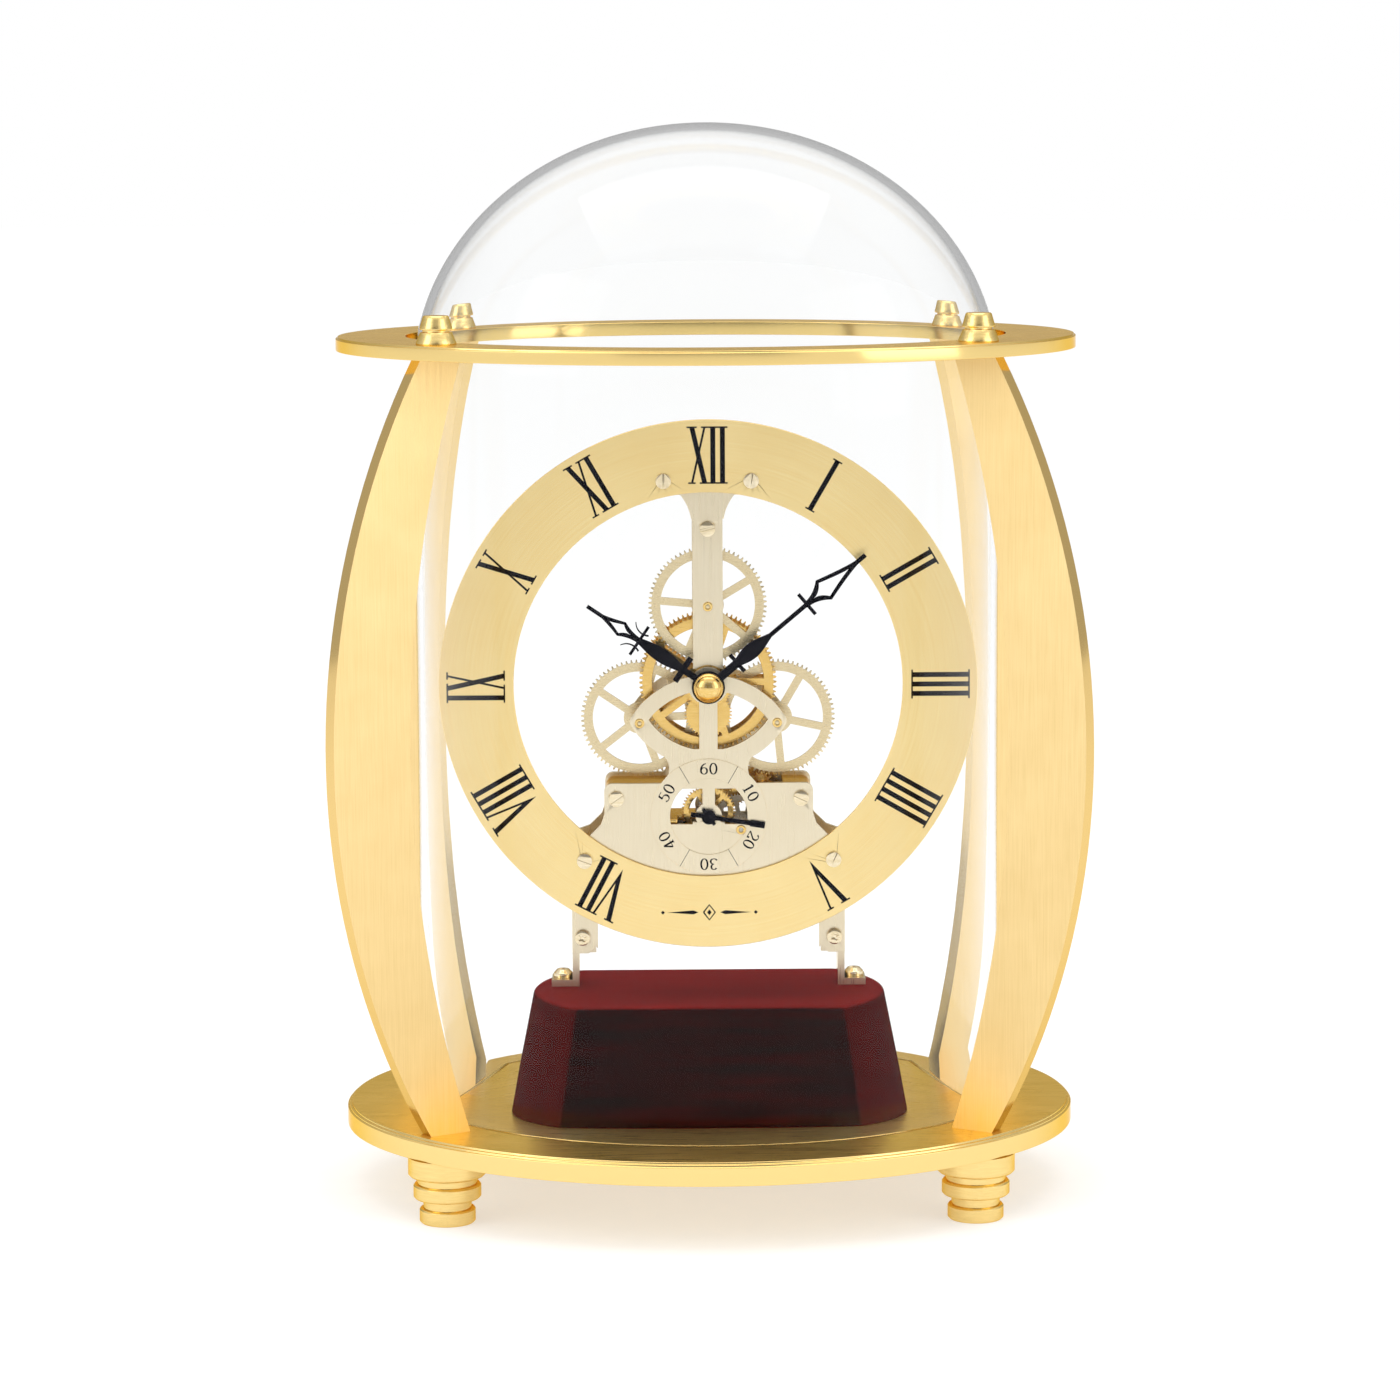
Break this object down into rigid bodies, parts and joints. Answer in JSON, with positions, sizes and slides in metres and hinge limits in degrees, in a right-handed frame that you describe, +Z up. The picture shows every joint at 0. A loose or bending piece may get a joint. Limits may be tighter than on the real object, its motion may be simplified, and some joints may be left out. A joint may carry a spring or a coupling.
{
  "type": "skeleton clock",
  "caption": "Oval skeleton mantel clock: bowed brass pillars, ring and feet, lift-off glass dome, open geared movement and Roman dial on a gloss wooden plinth.",
  "frame": {"origin": "on the table, under the middle of the base plate", "axes": "+Z up, -Y out of the dial towards the viewer, +X to the viewer's right"},
  "size_m": [0.204, 0.1648, 0.2964],
  "materials": {
    "brushed_brass": "brushed, lacquered",
    "polished_brass": "polished, lacquered",
    "pillar_brass": "brushed faces, polished edges",
    "dome_glass": "clear, polished",
    "plinth_wood": "high-gloss mahogany lacquer",
    "screw_steel": "plain",
    "screw_brass": "polished",
    "plate_satin": "satin gold plating",
    "housing_gold": "gold-plated, glossy",
    "post_brass": "polished",
    "dial_brass": "spun brushed",
    "wheel_pale": "satin",
    "wheel_brass": "bright",
    "wheel_nylon": "moulded",
    "rotor_black": "magnet",
    "arbor_steel": "turned",
    "hand_black": "satin black",
    "nut_gold": "polished",
    "iron_core": "stamped",
    "coil_copper": "enamelled winding",
    "board_green": "solder mask",
    "battery_case": "printed sleeve, plain"
  },
  "bodies": {
    "clock_frame": {"base_plate": "brushed_brass", "foot_front_left": "polished_brass", "foot_front_right": "polished_brass", "foot_back_left": "polished_brass", "foot_back_right": "polished_brass", "pillar_front_left": "pillar_brass", "pillar_front_right": "pillar_brass", "pillar_back_left": "pillar_brass", "pillar_back_right": "pillar_brass", "top_ring": "polished_brass", "nut_front_left": "polished_brass", "nut_front_right": "polished_brass", "nut_back_left": "polished_brass", "nut_back_right": "polished_brass", "plinth": "plinth_wood", "plinth_screws": "screw_steel", "bracket_left": "plate_satin", "bracket_right": "plate_satin", "bracket_foot_screws": "screw_brass", "bracket_ear_screws": "screw_brass", "back_plate": "plate_satin", "lower_front_plate": "plate_satin", "upper_bridge": "plate_satin", "motor_housing": "housing_gold", "plate_posts": "post_brass", "plate_screws": "screw_brass", "plate_bushes": "post_brass", "dial_ring": "dial_brass", "dial_screws": "screw_brass", "seconds_ring": "plate_satin", "stator": "iron_core", "coil": "coil_copper", "circuit_board": "board_green", "quartz_crystal": "arbor_steel", "battery": "battery_case", "battery_contacts": "arbor_steel"},
    "dome": {"glass_dome": "dome_glass"},
    "minute_train": {"centre_arbor": "arbor_steel", "front_centre_wheel": "wheel_brass", "rear_centre_wheel": "wheel_brass", "minute_hand": "hand_black", "hand_washer": "hand_black", "hand_nut": "nut_gold", "setting_knob": "arbor_steel"},
    "hour_train": {"hour_wheel": "wheel_brass", "hour_hand": "hand_black"},
    "motion_work": {"motion_wheel": "wheel_brass"},
    "upper_satellite": {"upper_wheel": "wheel_pale"},
    "left_satellite": {"left_wheel": "wheel_pale"},
    "right_satellite": {"right_wheel": "wheel_pale"},
    "seconds_train": {"seconds_arbor": "arbor_steel", "seconds_wheel": "wheel_brass", "seconds_hand": "hand_black"},
    "idler": {"idler_wheel": "wheel_brass"},
    "transfer": {"transfer_wheel": "wheel_brass"},
    "reduction": {"reduction_wheel": "wheel_nylon"},
    "rotor_shaft": {"rotor": "rotor_black"},
    "cover": {"battery_cover": "housing_gold"}
  },
  "joints": [
    {"name": "dome_lift", "type": "slide", "parent": "clock_frame", "child": "dome", "axis": [0, 0, 1], "range_m": [0, 0.28]},
    {"name": "seconds_turn", "type": "hinge", "parent": "clock_frame", "child": "seconds_train", "pos_m": [0, 0, 0.1073], "axis": [0, 1, 0], "continuous": true},
    {"name": "minute_turn", "type": "hinge", "parent": "clock_frame", "child": "minute_train", "pos_m": [0, 0, 0.1438], "axis": [0, 1, 0], "continuous": true},
    {"name": "hour_turn", "type": "hinge", "parent": "clock_frame", "child": "hour_train", "pos_m": [0, 0, 0.1438], "axis": [0, 1, 0], "continuous": true},
    {"name": "motion_turn", "type": "hinge", "parent": "clock_frame", "child": "motion_work", "pos_m": [0, 0, 0.1354], "axis": [0, 1, 0], "continuous": true},
    {"name": "upper_turn", "type": "hinge", "parent": "clock_frame", "child": "upper_satellite", "pos_m": [0, 0, 0.16536], "axis": [0, 1, 0], "continuous": true},
    {"name": "left_turn", "type": "hinge", "parent": "clock_frame", "child": "left_satellite", "pos_m": [-0.0188, 0, 0.13325], "axis": [0, 1, 0], "continuous": true},
    {"name": "right_turn", "type": "hinge", "parent": "clock_frame", "child": "right_satellite", "pos_m": [0.0188, 0, 0.13325], "axis": [0, 1, 0], "continuous": true},
    {"name": "idler_turn", "type": "hinge", "parent": "clock_frame", "child": "idler", "pos_m": [0.00595, 0, 0.11186], "axis": [0, 1, 0], "continuous": true},
    {"name": "transfer_turn", "type": "hinge", "parent": "clock_frame", "child": "transfer", "pos_m": [0.01461, 0, 0.11525], "axis": [0, 1, 0], "continuous": true},
    {"name": "reduction_turn", "type": "hinge", "parent": "clock_frame", "child": "reduction", "pos_m": [0.00882, 0, 0.10352], "axis": [0, 1, 0], "continuous": true},
    {"name": "rotor_turn", "type": "hinge", "parent": "clock_frame", "child": "rotor_shaft", "pos_m": [0.0168, 0, 0.10036], "axis": [0, 1, 0], "continuous": true},
    {"name": "cover_off", "type": "slide", "parent": "clock_frame", "child": "cover", "axis": [0, 1, 0], "range_m": [0, 0.03]}
  ],
  "couplings": [
    {"joint": "minute_turn", "follows": "seconds_turn", "ratio": 0.016667},
    {"joint": "hour_turn", "follows": "seconds_turn", "ratio": 0.0013889},
    {"joint": "motion_turn", "follows": "seconds_turn", "ratio": -0.0055556},
    {"joint": "upper_turn", "follows": "seconds_turn", "ratio": -0.1},
    {"joint": "left_turn", "follows": "seconds_turn", "ratio": -0.1},
    {"joint": "right_turn", "follows": "seconds_turn", "ratio": -0.1},
    {"joint": "transfer_turn", "follows": "seconds_turn", "ratio": 0.6},
    {"joint": "idler_turn", "follows": "seconds_turn", "ratio": -0.5625},
    {"joint": "reduction_turn", "follows": "seconds_turn", "ratio": -3},
    {"joint": "rotor_turn", "follows": "seconds_turn", "ratio": 30}
  ]
}
